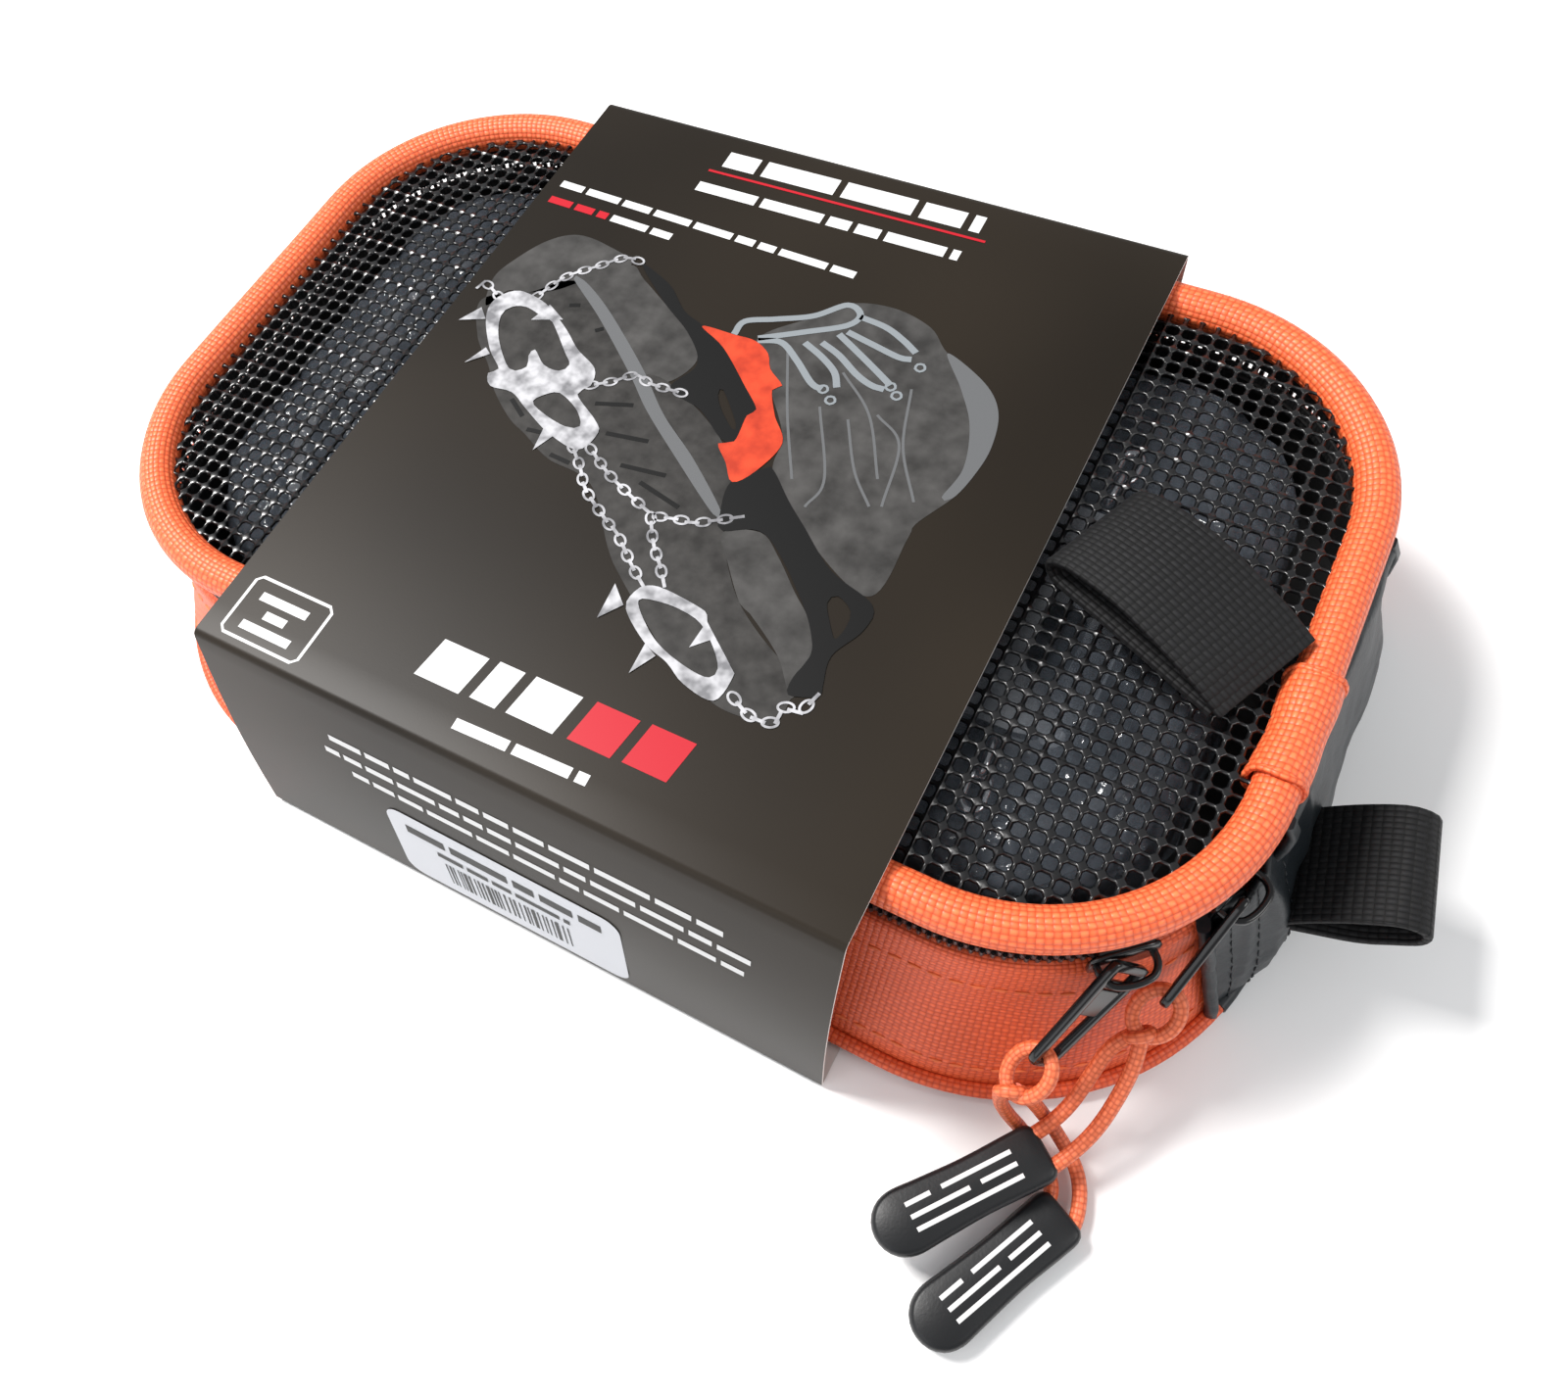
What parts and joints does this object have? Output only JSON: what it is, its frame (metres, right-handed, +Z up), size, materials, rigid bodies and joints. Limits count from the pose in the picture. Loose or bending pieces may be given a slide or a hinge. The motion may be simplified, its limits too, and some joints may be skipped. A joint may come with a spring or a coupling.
{
  "type": "packed microspikes",
  "caption": "Microspikes packed in a zipped mesh-lidded carry case with a printed card sleeve, webbing loops and corded zip pulls.",
  "frame": {"origin": "middle of the footprint, on the surface that the packed case lies on", "axes": "+X along the case to its hinged end, -Y to the front face of the card sleeve, +Z up"},
  "size_m": [0.2536, 0.1925, 0.0572],
  "materials": {
    "orange_nylon": "woven nylon",
    "orange_piping": "coarse basket weave",
    "base_fabric": "woven nylon",
    "panel_fabric": "coated, matt",
    "zip_tape": "woven tape",
    "zip_teeth": "satin",
    "stop_metal": "gloss",
    "mesh_vinyl": "glossy vinyl-coated yarn",
    "black_webbing": "ribbed webbing",
    "slider_enamel": "black enamel",
    "orange_cord": "braided",
    "tab_rubber": "satin",
    "printed_card": "satin print",
    "label_paper": "matt",
    "clear_film": "clear crinkled film",
    "harness_elastomer": "matt",
    "plate_steel": "satin",
    "chain_steel": "polished",
    "strap_fabric": "brushed hook-and-loop"
  },
  "bodies": {
    "case": {"bottom_panel": "base_fabric", "base_hem": "base_fabric", "side_gusset": "orange_nylon", "end_panel_lower": "panel_fabric", "zip_tape_lower": "zip_tape", "zip_coil_lower": "zip_teeth", "zip_end_stops": "stop_metal", "clear_bag": "clear_film", "ball_plate_left": "plate_steel", "ball_plate_right": "plate_steel", "front_chains_left": "chain_steel", "front_chains_right": "chain_steel", "harness_left": "harness_elastomer", "harness_right": "harness_elastomer", "heel_plate_left": "plate_steel", "heel_plate_right": "plate_steel", "instep_strap_left": "strap_fabric", "instep_strap_right": "strap_fabric", "middle_chains_left": "chain_steel", "middle_chains_right": "chain_steel", "rear_chains_left": "chain_steel", "rear_chains_right": "chain_steel", "toe_plate_left": "plate_steel", "toe_plate_right": "plate_steel"},
    "lid": {"lid_mesh": "mesh_vinyl", "lid_piping": "orange_piping", "piping_joint_cover": "orange_piping", "end_panel_upper": "panel_fabric", "zip_tape_upper": "zip_tape", "zip_coil_upper": "zip_teeth"},
    "lid_strap": {"lid_loop": "black_webbing"},
    "end_strap": {"end_loop": "black_webbing"},
    "sleeve": {"card_sleeve": "printed_card", "size_label": "label_paper"},
    "slider_1": {"zip_slider_1": "slider_enamel"},
    "slider_2": {"zip_slider_2": "slider_enamel"},
    "pull_1": {"puller_1": "slider_enamel", "cord_collar_1": "orange_cord"},
    "pull_2": {"puller_2": "slider_enamel", "cord_collar_2": "orange_cord"},
    "tab_1": {"pull_cord_1": "orange_cord", "pull_tab_1": "tab_rubber"},
    "tab_2": {"pull_cord_2": "orange_cord", "pull_tab_2": "tab_rubber"}
  },
  "joints": [
    {"name": "lid_hinge", "type": "hinge", "parent": "case", "child": "lid", "pos_m": [0.112, 0, 0.038], "axis": [0, 1, 0], "range_deg": [0, 105], "deforming": ["zip_tape_upper", "zip_coil_upper", "end_panel_upper"]},
    {"name": "sleeve_slide", "type": "slide", "parent": "case", "child": "sleeve", "axis": [-1, 0, 0], "range_m": [0, 0.27], "deforming": ["card_sleeve"]},
    {"name": "lid_strap_lift", "type": "hinge", "parent": "lid", "child": "lid_strap", "pos_m": [0.0996, -0.0092, 0.0513], "axis": [0, 1, 0], "range_deg": [0, 55]},
    {"name": "end_strap_lift", "type": "hinge", "parent": "case", "child": "end_strap", "pos_m": [0.1142, -0.0215, 0.018], "axis": [0.1736, -0.9848, 0], "range_deg": [-20, 8]},
    {"name": "slider_1_travel", "type": "hinge", "parent": "case", "child": "slider_1", "pos_m": [0.068, -0.0245, 0.038], "axis": [0, 0, 1], "range_deg": [-25, 0]},
    {"name": "slider_2_travel", "type": "hinge", "parent": "case", "child": "slider_2", "pos_m": [0.068, -0.0245, 0.038], "axis": [0, 0, 1], "range_deg": [0, 7.5]},
    {"name": "pull_1_swing", "type": "hinge", "parent": "slider_1", "child": "pull_1", "pos_m": [0.09716, -0.05577, 0.038], "axis": [-0.5142, -0.3828, 0.7675], "range_deg": [0, 40]},
    {"name": "pull_2_swing", "type": "hinge", "parent": "slider_2", "child": "pull_2", "pos_m": [0.10854, -0.03806, 0.038], "axis": [-0.1442, -0.5832, 0.7994], "range_deg": [0, 50]},
    {"name": "tab_1_swing", "type": "hinge", "parent": "pull_1", "child": "tab_1", "pos_m": [0.0891, -0.0742, 0.0193], "axis": [0, 0, 1], "range_deg": [-15, 25], "deforming": ["pull_cord_1"]},
    {"name": "tab_2_lift", "type": "hinge", "parent": "pull_2", "child": "tab_2", "pos_m": [0.1019, -0.0617, 0.02], "axis": [-0.9539, 0.3, 0], "range_deg": [0, 50], "deforming": ["pull_cord_2"]}
  ],
  "couplings": [
    {"joint": "sleeve_slide", "follows": "lid_hinge", "m_per_rad": 0.14297}
  ]
}
